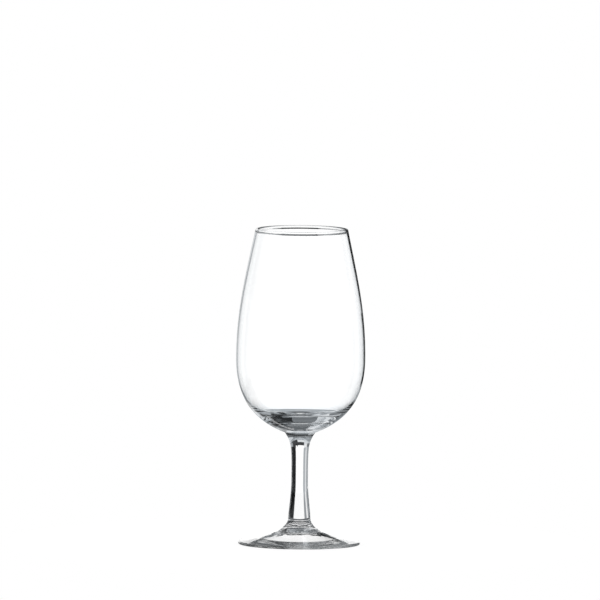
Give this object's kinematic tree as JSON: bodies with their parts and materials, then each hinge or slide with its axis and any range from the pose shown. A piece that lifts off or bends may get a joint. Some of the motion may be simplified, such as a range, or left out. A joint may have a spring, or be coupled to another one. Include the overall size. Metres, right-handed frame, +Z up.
{
  "type": "sherry glass",
  "caption": "Clear stemmed sherry glass: a tall tulip bowl narrowing to a polished lip, on a heavy base, a slender waisted stem with a flared collar, and a round dished foot.",
  "frame": {"origin": "centre of the ring that the glass stands on, at the level of the table", "axes": "+Z up the axis of revolution to the rim; +X and +Y are any two directions square to it, because the glass is round"},
  "size_m": [0.053, 0.053, 0.13],
  "materials": {
    "clear_glass": "clear, fire-polished, faintly cool in its thick parts"
  },
  "bodies": {
    "root": {"bowl": "clear_glass", "stem": "clear_glass", "foot": "clear_glass"}
  },
  "joints": []
}
